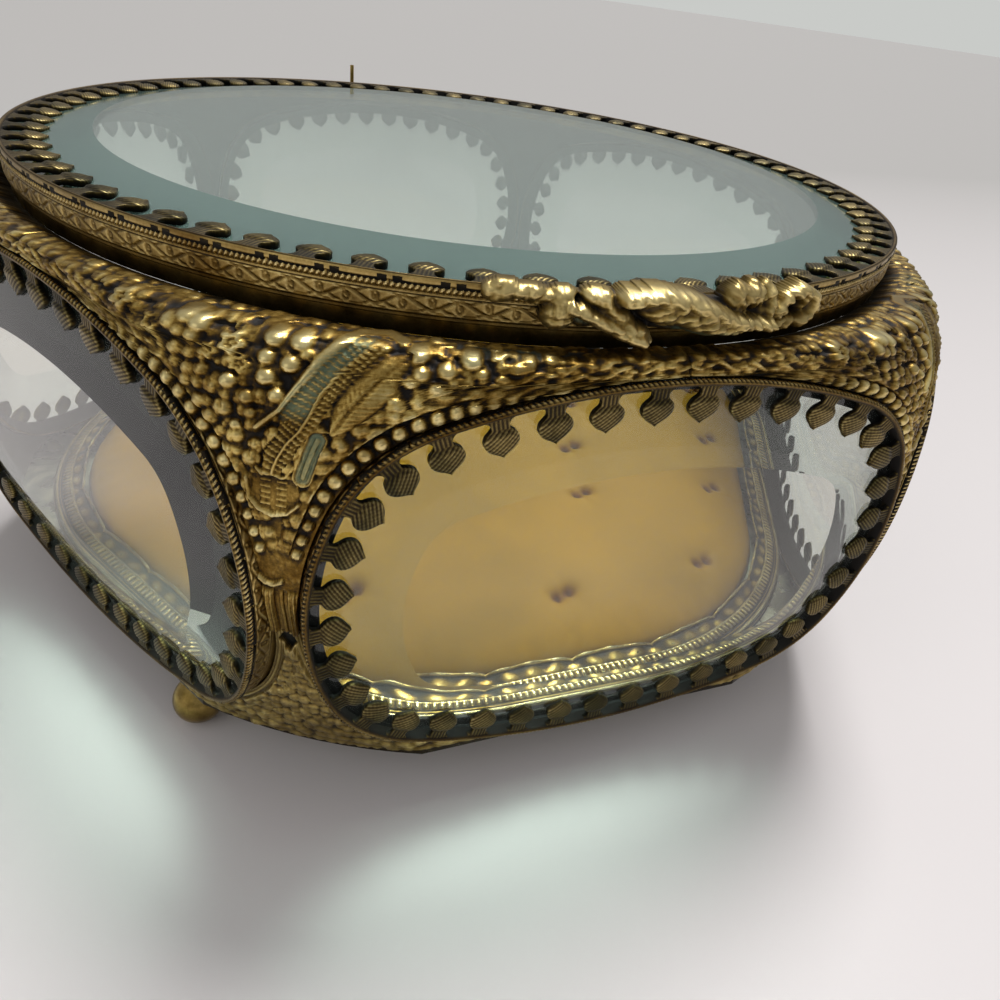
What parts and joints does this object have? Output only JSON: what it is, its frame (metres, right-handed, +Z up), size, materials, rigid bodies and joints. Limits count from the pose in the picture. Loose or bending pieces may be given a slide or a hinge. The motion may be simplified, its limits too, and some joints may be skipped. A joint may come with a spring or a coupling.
{
  "type": "glass casket box",
  "caption": "Hexagonal bevelled-glass casket with a round hinged glass lid, prong-set brass gallery strips, cast corner ornament, ball feet and a tufted satin cushion.",
  "frame": {"origin": "centre of the box on the surface it stands on, at the flats of the ball feet", "axes": "+Z up, -Y towards the thumb piece at the front, +X to the right seen from the front"},
  "size_m": [0.1994, 0.1768, 0.086],
  "materials": {
    "gallery_strip": "patinated stamped gallery strip",
    "bevelled_glass": "polished, bevelled",
    "gilt_brass": "worn gilt casting",
    "ball_foot_brass": "aged",
    "old_brass": "dull, aged",
    "pan_metal": "silver grey, streaked",
    "satin": "satin weave",
    "card": "grey board"
  },
  "bodies": {
    "casket": {"base_pan": "pan_metal", "base_gallery": "gilt_brass", "cushion_card": "card", "cushion": "satin", "top_ring": "old_brass", "side_bezel_1": "gallery_strip", "side_bezel_2": "gallery_strip", "side_bezel_3": "gallery_strip", "side_bezel_4": "gallery_strip", "side_bezel_5": "gallery_strip", "side_bezel_6": "gallery_strip", "side_glass_1": "bevelled_glass", "side_glass_2": "bevelled_glass", "side_glass_3": "bevelled_glass", "side_glass_4": "bevelled_glass", "side_glass_5": "bevelled_glass", "side_glass_6": "bevelled_glass", "upper_spandrel_1": "gilt_brass", "upper_spandrel_2": "gilt_brass", "upper_spandrel_3": "gilt_brass", "upper_spandrel_4": "gilt_brass", "upper_spandrel_5": "gilt_brass", "upper_spandrel_6": "gilt_brass", "lower_spandrel_1": "gilt_brass", "lower_spandrel_2": "gilt_brass", "lower_spandrel_3": "gilt_brass", "lower_spandrel_4": "gilt_brass", "lower_spandrel_5": "gilt_brass", "lower_spandrel_6": "gilt_brass", "foot_front_left": "ball_foot_brass", "foot_front_right": "ball_foot_brass", "foot_back_right": "ball_foot_brass", "foot_back_left": "ball_foot_brass", "hinge_leaf_body": "old_brass"},
    "lid": {"hinge_leaf_lid": "old_brass", "hinge_pin": "old_brass", "lid_frame": "gilt_brass", "lid_rim": "gallery_strip", "lid_glass": "bevelled_glass", "clasp": "gilt_brass"}
  },
  "joints": [
    {"name": "lid_hinge", "type": "hinge", "parent": "casket", "child": "lid", "pos_m": [0, 0.0847, 0.0782], "axis": [-1, 0, 0], "range_deg": [0, 100]}
  ]
}
